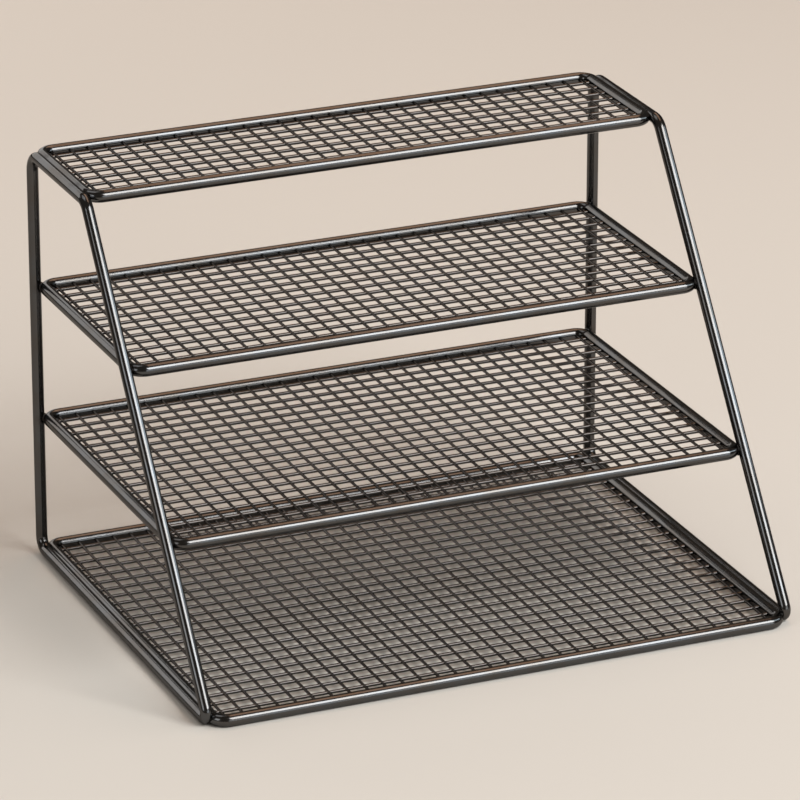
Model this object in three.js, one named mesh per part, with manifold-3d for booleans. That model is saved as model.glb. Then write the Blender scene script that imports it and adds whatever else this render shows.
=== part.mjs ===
// Tiered countertop rack in plated steel wire: four mesh shelves held between two bent side frames.
// Millimetres, +Z up, +X to the right, +Y to the rear. The origin is on the floor, in the middle of the rack.
import * as THREE from "three";
import { mergeVertices } from "three/addons/utils/BufferGeometryUtils.js";
import Module from "manifold-3d";

const wasm = await Module();
wasm.setup();

// Wire diameters
const sideWire = 7.2;
const rimWire = 7.6;
const meshWire = 2.2;

// Side frames, measured between wire centres
const frameSpacing = 400;
const footDepth = 302;
const crownDepth = 100;

// Shelves: the rise from one shelf to the next, how far the bottom rim stands ahead of the toes,
// and how far the top rim stops short of the front legs
const tierRise = 91.8;
const toeOverhang = 1.5;
const crownSetback = 4.6;

// Inside radii of the bends
const heelInside = 5.4;
const crownInside = 8.4;
const toeInside = 0.9;
const rimInside = 5.2;

// Welded mesh: the pitch both ways, the room behind the first wire that runs from side to side,
// and the least room left at the front and at the sides, all from the inner faces of the rim
const meshPitch = 12.1;
const rearMargin = 7.2;
const frontMargin = 5.5;
const sideMargin = 2.5;

// Fits: how far the weld sets a rim's front corners into the legs, and the gaps between welded wires,
// at the mesh wires' ends and between the two mesh layers
const weldSet = 0.9;
const weldGap = 0.2;
const endGap = 0.1;
const layerGap = 0.06;

// Weld beads between rims and side frames, and the nuggets along the border of each mesh
const beadRadius = 2.3;
const beadHalfLength = 3.68;
const nuggetRadius = 0.36;

// Facets round each kind of wire and weld, the angle of one step along a bend,
// and the steps in which a corner is searched for its nearest point
const wireSides = 12;
const meshSides = 6;
const nuggetSides = 3;
const beadSides = 6;
const beadRings = 4;
const bendStep = Math.PI / 8;
const cornerSteps = 180;

const finish = {
  frame: { color: 0x3b3a3b, roughness: 0.24, metalness: 0.95 },
  mesh: { color: 0x454443, roughness: 0.34, metalness: 0.9 },
};

// Derived sizes
const sideRadius = sideWire / 2;
const rimRadius = rimWire / 2;
const meshRadius = meshWire / 2;
const beadStretch = beadHalfLength / beadRadius;
const rimBend = rimInside + rimRadius;
const flatOf = (radius, sides) => radius * Math.cos(Math.PI / sides);
const sideX = frameSpacing / 2;
const rearY = (footDepth + toeOverhang) / 2;
const toeY = rearY - footDepth;
const crownY = rearY - crownDepth;
const floorBarZ = flatOf(sideRadius, wireSides);
const rimFloorZ = flatOf(rimRadius, wireSides);
const shelfNames = ["bottom", "lower_middle", "upper_middle", "top"];
const topLevel = shelfNames.length - 1;
const crownBarZ = rimFloorZ + topLevel * tierRise;
const contact = sideRadius + rimRadius + weldGap;

// A closed outline of straight runs joined by arcs, one radius a corner, turning to the left.
function bentOutline(corners, radii) {
  const outline = new THREE.Path();
  corners.forEach((corner, i) => {
    const toLast = corners.at(i - 1).clone().sub(corner).normalize();
    const toNext = corners[(i + 1) % corners.length].clone().sub(corner).normalize();
    const half = toLast.angleTo(toNext) / 2;
    const middle = toLast.clone().add(toNext).setLength(radii[i] / Math.sin(half)).add(corner);
    const begin = Math.atan2(toLast.x, -toLast.y);
    outline.absarc(middle.x, middle.y, radii[i], begin, begin + Math.PI - 2 * half, false);
  });
  return outline;
}

// A round wire along a closed outline in the XY plane, with flat facets facing up, down and sideways.
function wireLoop(outline, radius) {
  const rings = [];
  for (const arc of outline.curves.filter((curve) => curve.isEllipseCurve)) {
    const steps = Math.ceil((arc.aEndAngle - arc.aStartAngle) / bendStep);
    for (let step = 0; step <= steps; step++) {
      const at = arc.getPoint(step / steps);
      const angle = arc.aStartAngle + ((arc.aEndAngle - arc.aStartAngle) * step) / steps;
      rings.push({ at, outward: new THREE.Vector2(Math.cos(angle), Math.sin(angle)) });
    }
  }
  const positions = [];
  for (const { at, outward } of rings) {
    for (let side = 0; side < wireSides; side++) {
      const turn = ((side + 0.5) / wireSides) * 2 * Math.PI;
      const reach = radius * Math.cos(turn);
      positions.push(at.x + outward.x * reach, at.y + outward.y * reach, radius * Math.sin(turn));
    }
  }
  const index = [];
  const corner = (ring, side) => (ring % rings.length) * wireSides + (side % wireSides);
  for (let ring = 0; ring < rings.length; ring++) {
    for (let side = 0; side < wireSides; side++) {
      const near = corner(ring, side);
      const far = corner(ring + 1, side);
      const farUp = corner(ring + 1, side + 1);
      const nearUp = corner(ring, side + 1);
      index.push(near, far, farUp, near, farUp, nearUp);
    }
  }
  const geometry = new THREE.BufferGeometry();
  geometry.setAttribute("position", new THREE.Float32BufferAttribute(positions, 3));
  geometry.setIndex(index);
  return geometry;
}

function solidOf(geometry) {
  const bare = geometry.clone();
  bare.deleteAttribute("normal");
  bare.deleteAttribute("uv");
  const merged = mergeVertices(bare, 1e-4);
  const vertProperties = merged.getAttribute("position").array;
  const triVerts = new Uint32Array(merged.index.array);
  return new wasm.Manifold(new wasm.Mesh({ numProp: 3, vertProperties, triVerts }));
}

function geometryOf(solid) {
  const { vertProperties, triVerts } = solid.getMesh();
  const geometry = new THREE.BufferGeometry();
  geometry.setAttribute("position", new THREE.BufferAttribute(vertProperties, 3));
  geometry.setIndex(new THREE.BufferAttribute(triVerts, 1));
  geometry.computeVertexNormals();
  return geometry;
}

// One side frame in its own plane: rear leg, short top bar, slanting front leg and long floor bar.
// The outline is drawn with Y along the first axis and Z along the second, then stood up.
function sideFrame(radius) {
  const corners = [
    new THREE.Vector2(rearY, floorBarZ),
    new THREE.Vector2(rearY, crownBarZ),
    new THREE.Vector2(crownY, crownBarZ),
    new THREE.Vector2(toeY, floorBarZ),
  ];
  const insides = [heelInside, crownInside, crownInside, toeInside];
  const outline = bentOutline(corners, insides.map((inside) => inside + sideRadius));
  const stand = new THREE.Matrix4().makeBasis(
    new THREE.Vector3(0, 1, 0),
    new THREE.Vector3(0, 0, 1),
    new THREE.Vector3(1, 0, 0),
  );
  return wireLoop(outline, radius).applyMatrix4(stand);
}

// Where the axis of the slanting front leg passes a height.
function frontLegY(z) {
  const share = (z - floorBarZ) / (crownBarZ - floorBarZ);
  return toeY + (crownY - toeY) * share;
}

// The point of a rim's right-hand corner bend that comes nearest to a leg leaning by `lean` in the YZ plane.
function nearestOnCorner(halfWidth, barY, towards, legY, lean) {
  const middle = new THREE.Vector2(halfWidth - rimBend, barY - towards * rimBend);
  let nearest = { distance: Infinity };
  for (let step = 0; step <= cornerSteps; step++) {
    const angle = ((step / cornerSteps) * Math.PI) / 2;
    const x = middle.x + rimBend * Math.cos(angle);
    const y = middle.y + towards * rimBend * Math.sin(angle);
    const distance = Math.hypot(sideX - x, (legY - y) * Math.cos(lean));
    if (distance < nearest.distance) nearest = { x, y, distance };
  }
  return nearest;
}

// The front bar of a middle rim stands where its corner bends are set into the front legs.
function frontBarY(halfWidth, legY, lean) {
  let ahead = legY - rimBend;
  let behind = legY + 2 * rimBend;
  while (behind - ahead > 1e-4) {
    const middle = (ahead + behind) / 2;
    const { distance } = nearestOnCorner(halfWidth, middle, -1, legY, lean);
    if (distance < contact - weldSet) ahead = middle;
    else behind = middle;
  }
  return behind;
}

// The bead of a weld, midway between the rim's corner bend and the leg.
function beadPlace(at, legY) {
  const reach = (at.distance + rimRadius - sideRadius) / 2;
  const outward = new THREE.Vector2(sideX - at.x, legY - at.y).setLength(reach);
  return { x: at.x + outward.x, y: at.y + outward.y };
}

// The sizes of the rim on a level. All rims are as wide as the rear legs let the middle ones be.
// The floor and top rims are pressed into the bars of the side frames along their whole length,
// and the middle rims meet the legs only at their corner bends, where beads hold them.
function rimPlan(level) {
  const z = rimFloorZ + level * tierRise;
  const halfWidth = sideX + rimBend - Math.sqrt((contact + rimBend) ** 2 - rimBend ** 2);
  if (level === 0) return { z, halfWidth, front: toeY - toeOverhang, beads: [] };
  if (level === topLevel) return { z, halfWidth, front: crownY + crownSetback, beads: [] };
  const lean = Math.atan2(crownY - toeY, crownBarZ - floorBarZ);
  const legY = frontLegY(z);
  const front = frontBarY(halfWidth, legY, lean);
  const rearBead = beadPlace(nearestOnCorner(halfWidth, rearY, 1, rearY, 0), rearY);
  const frontBead = beadPlace(nearestOnCorner(halfWidth, front, -1, legY, lean), legY);
  return { z, halfWidth, front, beads: [rearBead, frontBead] };
}

// A rim is one bent wire with its weld beads, cut back to clear the side frames.
function rim(plan) {
  const corners = [
    new THREE.Vector2(plan.halfWidth, plan.front),
    new THREE.Vector2(plan.halfWidth, rearY),
    new THREE.Vector2(-plan.halfWidth, rearY),
    new THREE.Vector2(-plan.halfWidth, plan.front),
  ];
  const outline = bentOutline(corners, corners.map(() => rimBend));
  let solid = solidOf(wireLoop(outline, rimRadius));
  for (const side of [-1, 1]) {
    for (const { x, y } of plan.beads) {
      const bead = new THREE.SphereGeometry(beadRadius, beadSides, beadRings);
      bead.rotateX(Math.PI / 2).scale(1, 1, beadStretch).translate(side * x, y, 0);
      solid = solid.add(solidOf(bead));
    }
    solid = solid.subtract(solidOf(sideFrame(sideRadius + weldGap).translate(side * sideX, 0, -plan.z)));
  }
  return geometryOf(solid);
}

// Evenly pitched places along a span that starts at zero.
function pitched(span) {
  const spaces = Math.floor(span / meshPitch);
  return Array.from({ length: spaces + 1 }, (_, i) => i * meshPitch);
}

// How far short of a rim bar's centre line a mesh wire ends, when its edge lies `past` the start of the bend.
function wireStop(past) {
  if (past <= 0) return rimRadius + endGap;
  return rimBend - Math.sqrt(Math.max(rimInside ** 2 - past ** 2, 0)) + endGap;
}

// A mesh panel: front-to-back wires lie on side-to-side wires, fused where the border wires are crossed.
function meshPanel(plan) {
  const layerZ = flatOf(meshRadius, meshSides) + layerGap / 2;
  const across = pitched(2 * (plan.halfWidth - rimRadius - sideMargin));
  const columns = across.map((x) => x - across.at(-1) / 2);
  const firstRow = rearY - rimRadius - rearMargin;
  const rows = pitched(firstRow - plan.front - rimRadius - frontMargin).map((y) => firstRow - y);
  const straight = (length) =>
    new THREE.CylinderGeometry(meshRadius, meshRadius, length, meshSides, 1, false, Math.PI / meshSides);
  const solids = [];
  for (const x of columns) {
    const stop = wireStop(Math.abs(x) + meshRadius - (plan.halfWidth - rimBend));
    const wire = straight(rearY - plan.front - 2 * stop);
    solids.push(solidOf(wire.translate(x, (rearY + plan.front) / 2, layerZ)));
  }
  for (const y of rows) {
    const toCorner = Math.min(rearY - y, y - plan.front);
    const stop = wireStop(rimBend - toCorner + meshRadius);
    const wire = straight(2 * (plan.halfWidth - stop)).rotateZ(Math.PI / 2);
    solids.push(solidOf(wire.translate(0, y, -layerZ)));
  }
  for (const x of columns) {
    for (const y of rows) {
      const onBorder = [columns[0], columns.at(-1)].includes(x) || [rows[0], rows.at(-1)].includes(y);
      if (!onBorder) continue;
      const nugget = new THREE.CylinderGeometry(nuggetRadius, nuggetRadius, layerZ, nuggetSides);
      solids.push(solidOf(nugget.rotateX(Math.PI / 2).translate(x, y, 0)));
    }
  }
  return geometryOf(wasm.Manifold.union(solids));
}

function part(name, geometry, look) {
  const mesh = new THREE.Mesh(geometry, new THREE.MeshStandardMaterial(look));
  mesh.name = name;
  return mesh;
}

const rack = new THREE.Group();

for (const [name, side] of [["left_side_frame", -1], ["right_side_frame", 1]]) {
  const frame = part(name, sideFrame(sideRadius), finish.frame);
  frame.position.x = side * sideX;
  rack.add(frame);
}

shelfNames.forEach((name, level) => {
  const plan = rimPlan(level);
  const shelf = new THREE.Group();
  shelf.position.z = plan.z;
  shelf.add(part(`${name}_rim`, rim(plan), finish.frame));
  shelf.add(part(`${name}_mesh`, meshPanel(plan), finish.mesh));
  rack.add(shelf);
});

export default rack;
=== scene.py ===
# %% [markdown]
# # A stepped wire rack for the countertop
# The real rack is nothing but wire: two bent side frames, four bent rims and four welded mesh
# shelves, all plated in a dark, glossy gunmetal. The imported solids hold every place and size, so
# they are loaded first, and each frame, rim and mesh below takes the place of one of them.

# %% Load the solids
import math

import bpy
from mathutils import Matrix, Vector


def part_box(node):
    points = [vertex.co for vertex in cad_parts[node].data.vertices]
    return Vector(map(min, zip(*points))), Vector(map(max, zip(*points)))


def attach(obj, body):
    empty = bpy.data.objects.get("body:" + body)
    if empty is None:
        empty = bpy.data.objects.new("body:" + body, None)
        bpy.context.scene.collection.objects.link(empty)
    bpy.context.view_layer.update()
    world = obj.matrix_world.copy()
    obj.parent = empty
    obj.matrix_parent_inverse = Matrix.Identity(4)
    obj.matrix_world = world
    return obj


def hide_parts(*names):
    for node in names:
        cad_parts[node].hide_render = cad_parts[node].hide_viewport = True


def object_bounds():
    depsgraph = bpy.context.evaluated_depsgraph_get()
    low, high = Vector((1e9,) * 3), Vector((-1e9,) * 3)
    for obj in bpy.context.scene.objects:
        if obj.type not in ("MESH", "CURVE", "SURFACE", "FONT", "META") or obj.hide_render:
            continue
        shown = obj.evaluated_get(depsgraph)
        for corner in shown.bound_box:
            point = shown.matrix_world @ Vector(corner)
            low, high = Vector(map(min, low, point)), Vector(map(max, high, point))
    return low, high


MM = 0.001


def in_mm(*lengths):
    """Lengths in metres as rounded millimetres, for printing."""
    return [round(length / MM, 2) for length in lengths]


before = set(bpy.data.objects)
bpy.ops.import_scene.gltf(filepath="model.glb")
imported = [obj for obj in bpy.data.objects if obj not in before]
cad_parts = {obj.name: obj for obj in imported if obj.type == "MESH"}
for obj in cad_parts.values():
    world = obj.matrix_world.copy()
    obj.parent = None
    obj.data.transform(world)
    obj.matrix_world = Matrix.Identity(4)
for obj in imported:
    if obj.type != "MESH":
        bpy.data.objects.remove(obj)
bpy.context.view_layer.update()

# %% [markdown]
# ## Sizes
# The solids are twelve-sided along their thick wires and six-sided along the thin ones, and each
# stands on a flat facet. A facet lies nearer to the centre than the true round surface, so
# dividing by the cosine of half a facet's angle gives the radius of their corners back. These
# radii tell where the wires run.

# %% Measure the wires
SOLID_BAR_SIDES = 12
SOLID_MESH_SIDES = 6
FACET = math.cos(math.pi / SOLID_BAR_SIDES)
MESH_FACET = math.cos(math.pi / SOLID_MESH_SIDES)
LAYER_GAP = 0.06 * MM

side_low, side_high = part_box("right_side_frame")
side_radius = (side_high.x - side_low.x) / 2 / FACET
side_x = (side_high.x + side_low.x) / 2
rim_low, rim_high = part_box("bottom_rim")
rim_radius = (rim_high.z - rim_low.z) / 2 / FACET
mesh_low, mesh_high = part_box("bottom_mesh")
layer_height = (mesh_high.z - mesh_low.z - LAYER_GAP) / 2
mesh_radius = layer_height / 2 / MESH_FACET
print("side, rim and mesh radii in mm:", in_mm(side_radius, rim_radius, mesh_radius))

# %% [markdown]
# The solids stop a hair short of each other, where the real wires are pressed together and
# welded. So the round wires are made fuller by a little more than that gap, and they meet. In the
# mesh, the wires from front to back are finer than those from side to side.

# %% Fill out the wires
FULLNESS = 0.25 * MM
WIDE_FULLNESS = 1.07
DEEP_FINENESS = 0.88

full_side = side_radius + FULLNESS
full_rim = rim_radius + FULLNESS
wide_radius = mesh_radius * WIDE_FULLNESS
deep_radius = mesh_radius * DEEP_FINENESS
print("side frame and rim wires in mm:", in_mm(2 * full_side, 2 * full_rim))
print("wide and deep mesh wires in mm:", in_mm(2 * wide_radius, 2 * deep_radius))

# %% [markdown]
# Each mesh panel ends just short of its rim, so its box also tells where the centre line of the
# rim runs. A plan keeps that rectangle and the height of the shelf.

# %% Work out the shelves' rectangles
SHELVES = ("bottom", "lower_middle", "upper_middle", "top")
END_GAP = 0.1 * MM


def shelf_plan(name):
    """The rectangle that a rim's centre line follows, and the height of the shelf."""
    low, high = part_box(f"{name}_mesh")
    reach = rim_radius + END_GAP
    return {
        "half": high.x + reach,
        "rear": high.y + reach,
        "front": low.y - reach,
        "z": (low.z + high.z) / 2,
    }


plans = {name: shelf_plan(name) for name in SHELVES}
for name, plan in plans.items():
    print(name, "in mm:", dict(zip(plan, in_mm(*plan.values()))))

# %% [markdown]
# ## How to bend a wire
# A wire could be a curve with a bevel, or a torus pulled apart. Here it is made as a bending
# machine makes it: a ring of vertices stands for the cut end, extrude pushes it along each
# straight run, and spin turns it round the centre of each bend. So the first thing to know of a
# bend is where it begins and ends, and which point it turns round.

# %% Find a bend


def bend_at(before, corner, after, radius):
    """Where a bend round a corner begins and ends, its centre and its angle."""
    back = (before - corner).normalized()
    ahead = (after - corner).normalized()
    half = back.angle(ahead) / 2
    run = radius / math.tan(half)
    return {
        "enter": corner + back * run,
        "leave": corner + ahead * run,
        "centre": corner + (back + ahead).normalized() * radius / math.sin(half),
        "angle": math.pi - 2 * half,
    }


square = bend_at(Vector((0, -1, 0)), Vector((0, 0, 0)), Vector((-1, 0, 0)), rim_radius)
print("a square corner turns by", round(math.degrees(square["angle"])), "degrees")

# %% [markdown]
# After the last run the ring is back where it began, and merging the doubles closes the loop.
# Spin can leave faces inside out, so the normals are made consistent once the loop is closed.

# %% Push and bend a ring along its path
WIRE_SIDES = 28
BEND_STEPS = 14
SEAM = 0.001 * MM
X_AXIS = Vector((1, 0, 0))
Y_AXIS = Vector((0, 1, 0))
Z_AXIS = Vector((0, 0, 1))


def deselect():
    """Object mode with nothing selected, so that the next operator touches only what it makes."""
    if bpy.context.mode != "OBJECT":
        bpy.ops.object.mode_set(mode="OBJECT")
    bpy.ops.object.select_all(action="DESELECT")


def push(move):
    """Extrude what is selected along a straight run."""
    bpy.ops.mesh.extrude_region_move(TRANSFORM_OT_translate={"value": move})


def bent_wire(name, corners, bend_radii, wire_radius, axis):
    """A closed round wire through corners that turn to the left about the axis."""
    around = zip(corners[-1:] + corners[:-1], corners, corners[1:] + corners[:1], bend_radii)
    bends = [bend_at(*corner) for corner in around]
    start = (bends[-1]["leave"] + bends[0]["enter"]) / 2
    heading = (bends[0]["enter"] - start).to_track_quat("Z", "Y").to_euler()
    deselect()
    bpy.ops.mesh.primitive_circle_add(
        vertices=WIRE_SIDES, radius=wire_radius, location=start, rotation=heading
    )
    wire = bpy.context.object
    wire.name = name
    bpy.ops.object.transform_apply(location=True, rotation=True, scale=True)
    bpy.ops.object.mode_set(mode="EDIT")
    bpy.ops.mesh.select_all(action="SELECT")
    here = start
    for bend in bends:
        push(bend["enter"] - here)
        bpy.ops.mesh.spin(
            steps=BEND_STEPS, angle=-bend["angle"], center=bend["centre"], axis=axis
        )
        here = bend["leave"]
    push(start - here)
    bpy.ops.mesh.select_all(action="SELECT")
    bpy.ops.mesh.remove_doubles(threshold=SEAM)
    bpy.ops.mesh.normals_make_consistent(inside=False)
    bpy.ops.object.mode_set(mode="OBJECT")
    bpy.ops.object.shade_smooth()
    print(name, len(wire.data.polygons), "faces")
    return wire


print("a ring has", WIRE_SIDES, "sides, and a bend takes", BEND_STEPS, "steps")

# %% [markdown]
# ## Side frames
# Each side frame is one wire in an upright plane: up the rear leg, along the short top bar, down
# the slanting front leg and back along the floor bar. The toe is bent almost sharp, the heel a
# little rounder, and the two upper bends are the widest. Both frames are alike, so one loop of
# corners serves for both.

# %% Bend the two side frames
HEEL_INSIDE = 5.4 * MM
CROWN_INSIDE = 8.4 * MM
TOE_INSIDE = 0.9 * MM
TOE_OVERHANG = 1.5 * MM
CROWN_SETBACK = 4.6 * MM

rear_y = plans["bottom"]["rear"]
toe_y = plans["bottom"]["front"] + TOE_OVERHANG
crown_y = plans["top"]["front"] - CROWN_SETBACK
floor_bar_z = side_low.z + side_radius * FACET
crown_bar_z = side_high.z - side_radius * FACET


def side_frame(name, x):
    """One side frame in the plane at x, turning to the left as seen from the right."""
    corners = [
        Vector((x, rear_y, floor_bar_z)),
        Vector((x, rear_y, crown_bar_z)),
        Vector((x, crown_y, crown_bar_z)),
        Vector((x, toe_y, floor_bar_z)),
    ]
    insides = (HEEL_INSIDE, CROWN_INSIDE, CROWN_INSIDE, TOE_INSIDE)
    bend_radii = [inside + side_radius for inside in insides]
    return bent_wire(name, corners, bend_radii, full_side, X_AXIS)


side_frames = [side_frame("left_side_wire", -side_x), side_frame("right_side_wire", side_x)]

# %% [markdown]
# ## Rims
# A rim is a slightly thicker wire bent into a flat rectangle, and all four are equally wide. At
# the floor and at the top the rim is pressed and welded into the bars of the side frames, and in
# between only its corner bends reach the legs. The same helper bends them, this time about the
# upright axis.

# %% Bend the four rims
RIM_INSIDE = 5.2 * MM
rim_bend = RIM_INSIDE + rim_radius


def rim_wire(name, plan):
    """One rim, from its right-hand front corner round to its left-hand front corner."""
    half, rear, front, z = plan["half"], plan["rear"], plan["front"], plan["z"]
    corners = [
        Vector((half, front, z)),
        Vector((half, rear, z)),
        Vector((-half, rear, z)),
        Vector((-half, front, z)),
    ]
    bend_radii = [rim_bend] * len(corners)
    return bent_wire(f"{name}_rim_wire", corners, bend_radii, full_rim, Z_AXIS)


rims = {name: rim_wire(name, plan) for name, plan in plans.items()}

# %% [markdown]
# ## Weld places
# On the middle shelves each corner bend is welded to a leg, on the line from the bend's centre to
# the leg's axis. On the floor and top shelves the weld runs in the groove between the two bars,
# and the heat shows most near its ends. The places are worked out for the right-hand side and
# mirrored. The beads use them first, and further down so does the heat tint round each weld.

# %% Work out the weld places
MIDDLE_SHELVES = ("lower_middle", "upper_middle")
GROOVE_INSET = 2 * rim_bend
lean = math.atan2(crown_y - toe_y, crown_bar_z - floor_bar_z)


def front_leg_y(z):
    """Where the axis of the slanting front leg passes a height."""
    return toe_y + (z - floor_bar_z) * math.tan(lean)


def corner_weld(plan, bar_y, leg_y, inward):
    """The place midway between a corner bend and the leg beside it."""
    centre = Vector((plan["half"] - rim_bend, bar_y + inward * rim_bend, plan["z"]))
    towards = Vector((side_x, leg_y, plan["z"])) - centre
    apart = towards.length - rim_bend
    return centre + towards.normalized() * (rim_bend + (apart + rim_radius - side_radius) / 2)


def weld_places(name, plan):
    """The rear and front weld of a rim on the right-hand side."""
    z = plan["z"]
    if name in MIDDLE_SHELVES:
        rear = corner_weld(plan, plan["rear"], rear_y, -1)
        front = corner_weld(plan, plan["front"], front_leg_y(z), 1)
        return [rear, front]
    x = (plan["half"] + rim_radius + side_x - side_radius) / 2
    groove_ends = (plan["rear"] - GROOVE_INSET, plan["front"] + GROOVE_INSET)
    return [Vector((x, y, z)) for y in groove_ends]


welds = {name: weld_places(name, plan) for name, plan in plans.items()}
for name, places in welds.items():
    print(name, "welds in mm:", [in_mm(*place) for place in places])

# %% [markdown]
# ## Weld beads
# A resistance weld leaves a small smooth swelling between the two wires, not a laid seam. One
# bead is modelled: a ball is stretched upright, roughened a little and smoothed again, so that it
# looks set and not turned.

# %% Model one bead
BEAD_RADIUS = 2.3 * MM
BEAD_HALF_LENGTH = 3.7 * MM
BEAD_SUBDIVISIONS = 4
BEAD_ROUGHNESS = 0.35 * MM
BEAD_SEED = 7
BEAD_SMOOTHING = {"factor": 0.5, "repeat": 3}


def model_bead():
    """One bead at the origin, long in Z."""
    deselect()
    bpy.ops.mesh.primitive_ico_sphere_add(subdivisions=BEAD_SUBDIVISIONS, radius=BEAD_RADIUS)
    bpy.ops.object.mode_set(mode="EDIT")
    bpy.ops.mesh.select_all(action="SELECT")
    stretch = BEAD_HALF_LENGTH / BEAD_RADIUS
    bpy.ops.transform.resize(value=(1, 1, stretch), center_override=(0, 0, 0))
    bpy.ops.transform.vertex_random(offset=BEAD_ROUGHNESS, uniform=0, normal=1, seed=BEAD_SEED)
    bpy.ops.mesh.vertices_smooth(**BEAD_SMOOTHING)
    bpy.ops.object.mode_set(mode="OBJECT")
    bpy.ops.object.shade_smooth()
    return bpy.context.object


first_bead = model_bead()
print("one bead in mm:", in_mm(*first_bead.dimensions))

# %% [markdown]
# The bead is copied to each corner of the middle shelves. Every copy has a mesh of its own, its
# place is applied to that mesh, and the four beads of a shelf are joined into one piece.

# %% Copy the bead to the corners


def place_bead(place):
    """A copy of the bead with a mesh of its own."""
    deselect()
    first_bead.select_set(True)
    bpy.context.view_layer.objects.active = first_bead
    bpy.ops.object.duplicate(linked=False)
    copy = bpy.context.object
    copy.location = place
    bpy.ops.object.transform_apply(location=True, rotation=True, scale=True)
    return copy


def join(pieces, name):
    """Join pieces into the first of them, under a new name."""
    deselect()
    for piece in pieces:
        piece.select_set(True)
    bpy.context.view_layer.objects.active = pieces[0]
    bpy.ops.object.join()
    bpy.context.object.name = name
    return bpy.context.object


def shelf_beads(name):
    """The four beads of a middle shelf as one piece."""
    mirrored = [(side, place) for place in welds[name] for side in (-1, 1)]
    copies = [place_bead(Vector((side * place.x, place.y, place.z))) for side, place in mirrored]
    return join(copies, f"{name}_welds")


beads = {name: shelf_beads(name) for name in MIDDLE_SHELVES}
bpy.data.objects.remove(first_bead)
print("bead faces:", {name: len(piece.data.polygons) for name, piece in beads.items()})

# %% [markdown]
# ## Mesh shelves
# The shelves are welded mesh: wires from side to side, and across them slightly finer wires from
# front to back. The welding press squeezes them into each other wherever they cross, so the two
# layers end up almost in one plane. A grid with a Wireframe modifier would give square bars, so
# single wires are modelled instead. One wire is a thin cylinder whose end faces are extruded and
# widened into a small foot, where the weld to the rim has upset it.

# %% Give a wire its feet
FOOT_LENGTH = 1.6 * MM
FOOT_FLARE = 1.22
FOOT_SINK = 0.9 * MM
END_FACING = 0.9


def widen_ends(wire, along):
    """Extrude both end faces of a straight wire into a flared foot."""
    for end in (-1, 1):
        bpy.ops.object.mode_set(mode="OBJECT")
        for face in wire.data.polygons:
            face.select = face.normal.dot(along) * end > END_FACING
        centre = sum((face.center for face in wire.data.polygons if face.select), Vector())
        step = along * end * FOOT_LENGTH
        bpy.ops.object.mode_set(mode="EDIT")
        push(step)
        flare = [1 if part else FOOT_FLARE for part in along]
        bpy.ops.transform.resize(value=flare, center_override=centre + step)
    bpy.ops.object.mode_set(mode="OBJECT")


print("a foot's length and sink in mm:", in_mm(FOOT_LENGTH, FOOT_SINK))

# %% [markdown]
# An Array modifier repeats the wire at the pitch of the mesh. It is applied at once, so that each
# layer is a plain mesh that can be edited and joined.

# %% Repeat a wire into a layer
MESH_PITCH = 12.1 * MM
MESH_SIDES = 12


def repeat(piece, count, step):
    """Copy a piece along a step with an Array modifier."""
    array = piece.modifiers.new("pitch", "ARRAY")
    array.count = count
    array.use_relative_offset = False
    array.use_constant_offset = True
    array.constant_offset_displace = step
    bpy.ops.object.modifier_apply(modifier=array.name)


def wire_layer(middle, along, radius, length, count, step):
    """Straight wires: the first is centred on middle, and the others follow by the step."""
    deselect()
    bpy.ops.mesh.primitive_cylinder_add(
        vertices=MESH_SIDES,
        radius=radius,
        depth=length - 2 * FOOT_LENGTH,
        location=middle,
        rotation=along.to_track_quat("Z", "Y").to_euler(),
    )
    wire = bpy.context.object
    bpy.ops.object.transform_apply(location=True, rotation=True, scale=True)
    bpy.ops.object.mode_set(mode="EDIT")
    bpy.ops.mesh.select_mode(type="FACE")
    bpy.ops.mesh.select_all(action="DESELECT")
    widen_ends(wire, along)
    repeat(wire, count, step)
    return wire


print("a mesh wire has", MESH_SIDES, "sides, and the pitch in mm is", *in_mm(MESH_PITCH))

# %% [markdown]
# The outermost front-to-back wires run into the corner bends of the rim, so they are shorter.
# Their end vertices are picked by their place and moved back by the depth of the bend there.

# %% Shorten the outer wires


def bend_depth(plan, x):
    """How far the inner face of a corner bend stands in front of the straight bar at x."""
    past = max(x + mesh_radius - (plan["half"] - rim_bend), 0)
    return RIM_INSIDE - math.sqrt(max(RIM_INSIDE**2 - past**2, 0))


def shorten_outer(wires, plan, outer_x):
    """Move the ends of the outermost wires back to the inner face of the corner bends."""
    back = bend_depth(plan, outer_x)
    middle_y = (plan["rear"] + plan["front"]) / 2
    quarter = (plan["rear"] - plan["front"]) / 4
    for end in (-1, 1):
        for vertex in wires.data.vertices:
            at_end = (vertex.co.y - middle_y) * end > quarter
            vertex.select = abs(vertex.co.x) > outer_x - MESH_PITCH / 2 and at_end
        bpy.ops.object.mode_set(mode="EDIT")
        bpy.ops.mesh.select_mode(type="VERT")
        bpy.ops.transform.translate(value=(0, -end * back, 0))
        bpy.ops.mesh.select_all(action="DESELECT")
        bpy.ops.object.mode_set(mode="OBJECT")


outermost = plans["bottom"]["half"] - rim_radius - mesh_radius
print("a bend takes at most, in mm:", *in_mm(bend_depth(plans["bottom"], outermost)))

# %% [markdown]
# A spot weld at each crossing squeezes out a low collar of metal. One small ball is flattened,
# and two Array modifiers repeat it along both pitches.

# %% Spot welds at the crossings
SPOT_RADIUS = 1.8 * MM
SPOT_HEIGHT = 0.6 * MM
SPOT_SUBDIVISIONS = 1


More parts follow.
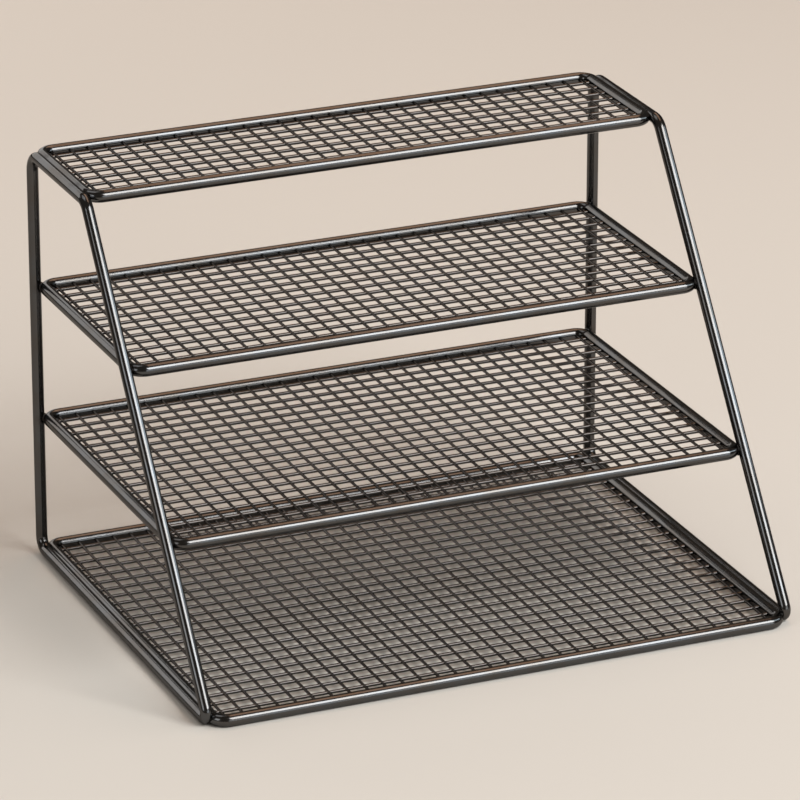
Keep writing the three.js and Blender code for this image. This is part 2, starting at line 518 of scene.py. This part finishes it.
def spot_welds(corner, columns, rows):
    """A low collar at each crossing, counted from the left-hand rear one."""
    deselect()
    bpy.ops.mesh.primitive_ico_sphere_add(
        subdivisions=SPOT_SUBDIVISIONS, radius=SPOT_RADIUS, location=corner
    )
    spot = bpy.context.object
    bpy.ops.object.transform_apply(location=True, rotation=True, scale=True)
    bpy.ops.object.mode_set(mode="EDIT")
    bpy.ops.mesh.select_all(action="SELECT")
    flatten = SPOT_HEIGHT / SPOT_RADIUS
    bpy.ops.transform.resize(value=(1, 1, flatten), center_override=corner)
    bpy.ops.object.mode_set(mode="OBJECT")
    repeat(spot, columns, X_AXIS * MESH_PITCH)
    repeat(spot, rows, Y_AXIS * -MESH_PITCH)
    return spot


print("a collar stands proud of its wire, in mm:", *in_mm(SPOT_RADIUS - wide_radius))

# %% [markdown]
# Each panel fills its rim with as many wires as fit between the margins, counted from the rear.
# The two layers lie a hair above and below the middle of the rim, and their feet sink into it.

# %% Put the layers of each shelf together
REAR_MARGIN = 7.2 * MM
FRONT_MARGIN = 5.5 * MM
SIDE_MARGIN = 2.5 * MM
LAYER_LIFT = 0.25 * MM
CREASE = math.radians(50)


def mesh_counts(plan):
    """How many wires run each way, and where the left-hand rear crossing lies."""
    across = 2 * (plan["half"] - rim_radius - SIDE_MARGIN)
    columns = math.floor(across / MESH_PITCH) + 1
    first_row = plan["rear"] - rim_radius - REAR_MARGIN
    deep = first_row - plan["front"] - rim_radius - FRONT_MARGIN
    rows = math.floor(deep / MESH_PITCH) + 1
    return columns, rows, Vector((-(columns - 1) * MESH_PITCH / 2, first_row, plan["z"]))


def mesh_shelf(name, plan):
    """One mesh panel: side-to-side wires, front-to-back wires, and a collar at each crossing."""
    columns, rows, corner = mesh_counts(plan)
    lift = Z_AXIS * LAYER_LIFT
    sink = 2 * (rim_radius - FOOT_SINK)
    middle = Vector((corner.x, (plan["rear"] + plan["front"]) / 2, plan["z"])) + lift
    depth = plan["rear"] - plan["front"] - sink
    to_the_right = X_AXIS * MESH_PITCH
    deep = wire_layer(middle, Y_AXIS, deep_radius, depth, columns, to_the_right)
    shorten_outer(deep, plan, -corner.x)
    middle = Vector((0, corner.y, plan["z"])) - lift
    width = 2 * plan["half"] - sink
    to_the_front = Y_AXIS * -MESH_PITCH
    wide = wire_layer(middle, X_AXIS, wide_radius, width, rows, to_the_front)
    panel = join([deep, wide, spot_welds(corner, columns, rows)], f"{name}_mesh_wires")
    bpy.ops.object.shade_smooth_by_angle(angle=CREASE)
    print(panel.name, columns, "by", rows, "wires,", len(panel.data.polygons), "faces")
    return panel


panels = {name: mesh_shelf(name, plan) for name, plan in plans.items()}

# %% [markdown]
# ## The plating
# The finish is dark plating under a thin lacquer. It is never quite even: the film is a little
# browner in broad patches, the gloss drifts, and the drawn wire shows through as a faint ripple.
# All kinds of wire share this skin, so it is a node group that each material places with values
# of its own. First comes the empty group with its named sockets.

# %% An empty group for the plated skin


def new_group(name, inputs, outputs):
    """An empty shader node group with named sockets, and its input and output nodes."""
    group = bpy.data.node_groups.new(name, "ShaderNodeTree")
    for socket, kind in inputs.items():
        group.interface.new_socket(socket, in_out="INPUT", socket_type=kind)
    for socket, kind in outputs.items():
        group.interface.new_socket(socket, in_out="OUTPUT", socket_type=kind)
    return group, group.nodes.new("NodeGroupInput"), group.nodes.new("NodeGroupOutput")


COLOUR = "NodeSocketColor"
VALUE = "NodeSocketFloat"
VECTOR = "NodeSocketVector"
skin, skin_in, skin_out = new_group(
    "plating_skin",
    {"Plating": COLOUR, "Film": COLOUR, "Ripple": VALUE, "Gloss": VALUE},
    {"Colour": COLOUR, "Roughness": VALUE, "Height": VALUE},
)
print(skin.name, "gives", [socket.name for socket in skin_out.inputs if socket.name])

# %% [markdown]
# The browner film lies in patches of a few centimetres. Noise on Object coordinates makes them,
# and its middle range is stretched so that the patches have soft but visible edges.

# %% Patches of browner film
PATCHES_PER_METRE = 45.0
PATCH_DETAIL = 4.0
PATCH_ROUGHNESS = 0.6
PATCH_EDGE = (0.36, 0.66)


def feed(tree, socket, value):
    """Link a socket to another one, or set it to a plain value."""
    if isinstance(value, bpy.types.NodeSocket):
        tree.links.new(value, socket)
    else:
        socket.default_value = value


def noise(tree, scale, detail, roughness=0.5):
    """A noise texture on Object coordinates. Its scale counts features in a metre."""
    coordinates = tree.nodes.new("ShaderNodeTexCoord")
    texture = tree.nodes.new("ShaderNodeTexNoise")
    feed(tree, texture.inputs["Vector"], coordinates.outputs["Object"])
    feed(tree, texture.inputs["Scale"], scale)
    texture.inputs["Detail"].default_value = detail
    texture.inputs["Roughness"].default_value = roughness
    return texture.outputs["Fac"]


def spread(tree, source, low, high):
    """Stretch the range from low to high over the range from zero to one."""
    stretch = tree.nodes.new("ShaderNodeMapRange")
    stretch.inputs["From Min"].default_value = low
    stretch.inputs["From Max"].default_value = high
    feed(tree, stretch.inputs["Value"], source)
    return stretch.outputs["Result"]


def mix_colours(tree, factor, first, second):
    """A colour Mix node."""
    mix = tree.nodes.new("ShaderNodeMix")
    mix.data_type = "RGBA"
    for socket, value in (("Factor", factor), ("A", first), ("B", second)):
        feed(tree, mix.inputs[socket], value)
    return mix.outputs["Result"]


patches = noise(skin, PATCHES_PER_METRE, PATCH_DETAIL, PATCH_ROUGHNESS)
patch_mask = spread(skin, patches, *PATCH_EDGE)
film = mix_colours(skin, patch_mask, skin_in.outputs["Plating"], skin_in.outputs["Film"])
feed(skin, skin_out.inputs["Colour"], film)
print(skin.name, "has", len(skin.nodes), "nodes so far")

# %% [markdown]
# Where the film is browner it is also a little duller, so the same mask lifts the roughness. The
# ripple of the drawn wire is a finer noise, which each material turns into relief.

# %% Drifting gloss and drawn ripple
GLOSS_DRIFT = 0.06
RIPPLE_DETAIL = 2.0


def math_node(tree, operation, first, second):
    """A Math node whose inputs are sockets or numbers."""
    node = tree.nodes.new("ShaderNodeMath")
    node.operation = operation
    feed(tree, node.inputs[0], first)
    feed(tree, node.inputs[1], second)
    return node.outputs["Value"]


drift = math_node(skin, "MULTIPLY", patch_mask, GLOSS_DRIFT)
dullness = math_node(skin, "ADD", skin_in.outputs["Gloss"], drift)
feed(skin, skin_out.inputs["Roughness"], dullness)
ripples = noise(skin, skin_in.outputs["Ripple"], RIPPLE_DETAIL)
feed(skin, skin_out.inputs["Height"], ripples)
print(skin.name, "has", len(skin.nodes), "nodes")

# %% [markdown]
# Welding heat leaves a darker, duller halo. The rack is the same on both sides, so the group
# folds X to its absolute value and measures the distance to one weld place of the right-hand
# side.

# %% Distance to a weld place
heat, heat_in, heat_out = new_group(
    "weld_heat", {"Place": VECTOR, "Reach": VALUE}, {"Mask": VALUE}
)
here = heat.nodes.new("ShaderNodeTexCoord")
apart = heat.nodes.new("ShaderNodeSeparateXYZ")
folded = heat.nodes.new("ShaderNodeCombineXYZ")
away = heat.nodes.new("ShaderNodeVectorMath")
away.operation = "DISTANCE"
feed(heat, apart.inputs["Vector"], here.outputs["Object"])
feed(heat, folded.inputs["X"], math_node(heat, "ABSOLUTE", apart.outputs["X"], 0.0))
feed(heat, folded.inputs["Y"], apart.outputs["Y"])
feed(heat, folded.inputs["Z"], apart.outputs["Z"])
feed(heat, away.inputs[0], folded.outputs["Vector"])
feed(heat, away.inputs[1], heat_in.outputs["Place"])
print(heat.name, "has", len(heat.nodes), "nodes so far")

# %% [markdown]
# The halo is full at the weld and gone at its reach. A fine noise stretches the distance here and
# there, which frays the edge.

# %% Fade the heat
FRAY_PER_METRE = 700.0
FRAY_DETAIL = 2.0
FRAY_RANGE = (-1.0, 0.5)

fray = spread(heat, noise(heat, FRAY_PER_METRE, FRAY_DETAIL), *FRAY_RANGE)
fade = heat.nodes.new("ShaderNodeMapRange")
fade.interpolation_type = "SMOOTHSTEP"
feed(heat, fade.inputs["Value"], math_node(heat, "MULTIPLY", away.outputs["Value"], fray))
feed(heat, fade.inputs["From Max"], heat_in.outputs["Reach"])
fade.inputs["To Min"].default_value = 1.0
fade.inputs["To Max"].default_value = 0.0
feed(heat, heat_out.inputs["Mask"], fade.outputs["Result"])
print(heat.name, "has", len(heat.nodes), "nodes")

# %% [markdown]
# ## Materials
# Gunmetal plating is a metal with a dark base colour: it mirrors the room at about a twelfth of
# its brightness, so only lamps draw bright lines along the wires. A metal brightens where it
# turns away from the eye, and a dark specular tint holds that back, so that each wire keeps its
# dark outline. A thin lacquer coat adds a sharper highlight. Every wire material is built by one
# function from the two groups, and differs in colour, gloss, edges and where its welds lie.

# %% A function for plated wire
HEAT_COLOUR = (0.027, 0.023, 0.021, 1.0)
HEAT_DULLNESS = 0.18
WELD_REACH = 7 * MM
RELIEF_DEPTH = 0.05 * MM
LACQUER_WEIGHT = 0.2
LACQUER_ROUGHNESS = 0.1


def place_group(tree, group, **values):
    """A group node with its named inputs set."""
    node = tree.nodes.new("ShaderNodeGroup")
    node.node_tree = group
    for socket, value in values.items():
        node.inputs[socket].default_value = value
    return node


def plated(name, plating, film, gloss, edge, heated, ripple, bump):
    """A plated metal with heat marks round the given weld places."""
    material = bpy.data.materials.new(name)
    material.use_nodes = True
    tree = material.node_tree
    shader = tree.nodes["Principled BSDF"]
    surface = place_group(tree, skin, Plating=plating, Film=film, Gloss=gloss, Ripple=ripple)
    colour, roughness = surface.outputs["Colour"], surface.outputs["Roughness"]
    for place in heated:
        mask = place_group(tree, heat, Place=place, Reach=WELD_REACH).outputs["Mask"]
        colour = mix_colours(tree, mask, colour, HEAT_COLOUR)
        duller = math_node(tree, "MULTIPLY", mask, HEAT_DULLNESS)
        roughness = math_node(tree, "ADD", roughness, duller)
    relief = tree.nodes.new("ShaderNodeBump")
    relief.inputs["Strength"].default_value = bump
    relief.inputs["Distance"].default_value = RELIEF_DEPTH
    feed(tree, relief.inputs["Height"], surface.outputs["Height"])
    feed(tree, shader.inputs["Base Color"], colour)
    feed(tree, shader.inputs["Roughness"], roughness)
    feed(tree, shader.inputs["Normal"], relief.outputs["Normal"])
    shader.inputs["Metallic"].default_value = 1.0
    shader.inputs["Specular Tint"].default_value = (edge, edge, edge, 1.0)
    shader.inputs["Coat Weight"].default_value = LACQUER_WEIGHT
    shader.inputs["Coat Roughness"].default_value = LACQUER_ROUGHNESS
    print(name, "has", len(tree.nodes), "nodes and", len(heated), "heat marks")
    return material


print("a heat mark reaches, in mm:", *in_mm(WELD_REACH))

# %% [markdown]
# The bars are cool gunmetal with a faint brown film. The mesh is the same plating, but glossier,
# and its edges are held darkest; its colour is set darker and browner than the bars', which is
# painted shade and a painted brown reflection. The beads are the dullest, with a coarse grain.

# %% Build the wire materials
GUNMETAL = (0.083, 0.084, 0.086, 1.0)
BROWN_FILM = (0.08, 0.073, 0.067, 1.0)
# The mesh colours are the plating with painted shade and a painted brown reflection in them.
MESH_SHADED_GUNMETAL = (0.055, 0.0505, 0.048, 1.0)
MESH_SHADED_FILM = (0.0515, 0.044, 0.0385, 1.0)
BEAD_METAL = (0.044, 0.04, 0.038, 1.0)
BAR_GLOSS = 0.13
MESH_GLOSS = 0.08
BEAD_GLOSS = 0.3
BAR_EDGE = 0.55
MESH_EDGE = 0.2
DRAWN = {"ripple": 260.0, "bump": 0.05}
GRAINY = {"ripple": 1600.0, "bump": 0.3}

all_welds = sum(welds.values(), [])
bead_welds = sum((welds[name] for name in MIDDLE_SHELVES), [])
bar_look = (GUNMETAL, BROWN_FILM, BAR_GLOSS, BAR_EDGE)
shaded_mesh_look = (MESH_SHADED_GUNMETAL, MESH_SHADED_FILM, MESH_GLOSS, MESH_EDGE)
bead_look = (BEAD_METAL, BROWN_FILM, BEAD_GLOSS, BAR_EDGE)
side_plating = plated("side_frame_plating", *bar_look, all_welds, **DRAWN)
rim_plating = plated("rim_plating", *bar_look, all_welds, **DRAWN)
shaded_mesh_plating = plated("shaded_mesh_plating", *shaded_mesh_look, [], **DRAWN)
bead_plating = plated("weld_plating", *bead_look, bead_welds, **GRAINY)

# %% [markdown]
# ## Put the pieces on the part
# Each wire stands for the solid of the same piece, so that solid is hidden. Nothing on the rack
# moves, and every piece rides on the one body.

# %% Assign, ride and replace


def finish_piece(piece, material, slot, *nodes):
    """Give a piece its finish and its place on the part."""
    piece.data.materials.clear()
    piece.data.materials.append(material)
    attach(piece, "root")
    if nodes:
        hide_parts(*nodes)


for wire, node in zip(side_frames, ("left_side_frame", "right_side_frame")):
    finish_piece(wire, side_plating, "frame_wire", node)
for name in SHELVES:
    finish_piece(rims[name], rim_plating, "rim_wire", f"{name}_rim")
    finish_piece(panels[name], shaded_mesh_plating, "mesh_wire", f"{name}_mesh")
for name in MIDDLE_SHELVES:
    finish_piece(beads[name], bead_plating, "rim_wire")

# %% [markdown]
# ## Floor and room
# A plain pale floor carries the shadow, and the room round it is dim and warm, so that the dark
# metal stays dark between the lamps.

# %% Build the stage
FLOOR_SIZE = 12.0
FLOOR_COLOUR = (0.68, 0.625, 0.56, 1.0)
FLOOR_ROUGHNESS = 0.7
FLOOR_SPECULAR = 0.2
ROOM_COLOUR = (0.2, 0.175, 0.15, 1.0)
ROOM_STRENGTH = 0.7

rack_low, rack_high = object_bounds()
deselect()
bpy.ops.mesh.primitive_plane_add(size=FLOOR_SIZE, location=(0, 0, rack_low.z))
floor = bpy.context.object
floor.name = "floor"
pale = bpy.data.materials.new("pale_floor")
pale.use_nodes = True
matt = pale.node_tree.nodes["Principled BSDF"]
matt.inputs["Base Color"].default_value = FLOOR_COLOUR
matt.inputs["Roughness"].default_value = FLOOR_ROUGHNESS
matt.inputs["Specular IOR Level"].default_value = FLOOR_SPECULAR
floor.data.materials.append(pale)

room = bpy.data.worlds.new("room")
room.use_nodes = True
glow = room.node_tree.nodes["Background"]
glow.inputs["Color"].default_value = ROOM_COLOUR
glow.inputs["Strength"].default_value = ROOM_STRENGTH
bpy.context.scene.world = room
print("the floor lies, in mm, at", *in_mm(rack_low.z))

# %% [markdown]
# ## Light
# Dark metal shows its surroundings more than its own colour, so the shapes of the lamps draw the
# lines along the wires. A broad key at the front right makes the white line on every bar, and a
# low panel under it the bluish tail below that line. A strip at the right follows the slanting
# legs, and a fill lights their left. Behind the rack, one panel greys the side bars, and a long
# warm one that reaches overhead browns the upper edges. The last lamp only evens out the floor,
# which renders about as its colour is written.

# %% Hang the lamps
LAMPS = {
    # name: (place, (width, height), watts, colour, roll in degrees)
    "key_lamp": ((1.52, -2.56, 2.96), (2.4, 2.1), 152, (0.96, 0.985, 1.0), 0),
    "front_panel": ((1.44, -4.3, 1.1), (3.5, 1.75), 34, (0.88, 0.95, 1.0), 0),
    "right_strip": ((1.94, -0.81, 1.36), (2.0, 0.5), 12, (0.74, 0.89, 1.0), -34),
    "left_fill": ((-2.0, -0.8, 1.0), (0.9, 1.1), 7.5, (0.93, 0.97, 1.0), 0),
    "back_panel": ((-0.6, 2.6, 1.05), (2.7, 1.3), 21, (1.0, 0.97, 0.94), 0),
    "warm_panel": ((0.96, 1.02, 2.33), (0.8, 2.6), 13.5, (1.0, 0.63, 0.42), 38),
    "overhead_lamp": ((-0.6, 1.0, 2.5), (1.3, 1.3), 7, (0.97, 0.99, 1.0), 0),
}
rack_middle = (rack_low + rack_high) / 2


def lamp(name, place, size, power, colour, roll):
    """A soft rectangular lamp that faces the rack, rolled about its own axis."""
    deselect()
    bpy.ops.object.light_add(type="AREA", location=place)
    made = bpy.context.object
    made.name = name
    turn = (rack_middle - Vector(place)).to_track_quat("-Z", "Y").to_euler()
    turn.rotate_axis("Z", math.radians(roll))
    made.rotation_euler = turn
    made.data.shape = "RECTANGLE"
    made.data.size, made.data.size_y = size
    made.data.energy = power
    made.data.color = colour


for name, settings in LAMPS.items():
    lamp(name, *settings)

# %% [markdown]
# ## Camera
# The photograph looks at the rack from the left of its front and from above, through a long lens
# that keeps the shelves almost parallel. The camera stands far off, and its lens is set for the
# square frame.

# %% Set up the camera
AZIMUTH = math.radians(-23.3)
ELEVATION = math.radians(21.66)
DISTANCE = 3.613
LENS = 252.4
SENSOR_WIDTH = 36
FAR_CLIP = 50
AIM = Vector((-6.9, 0, 132.9)) * MM

level = math.cos(ELEVATION)
outward = Vector((math.sin(AZIMUTH) * level, -math.cos(AZIMUTH) * level, math.sin(ELEVATION)))
deselect()
bpy.ops.object.camera_add(
    location=AIM + outward * DISTANCE, rotation=outward.to_track_quat("Z", "Y").to_euler()
)
camera = bpy.context.object
camera.data.lens = LENS
camera.data.sensor_width = SENSOR_WIDTH
camera.data.clip_end = FAR_CLIP
bpy.context.scene.camera = camera
bpy.context.scene.view_settings.view_transform = "Standard"
print("camera at", [round(value, 3) for value in camera.location])
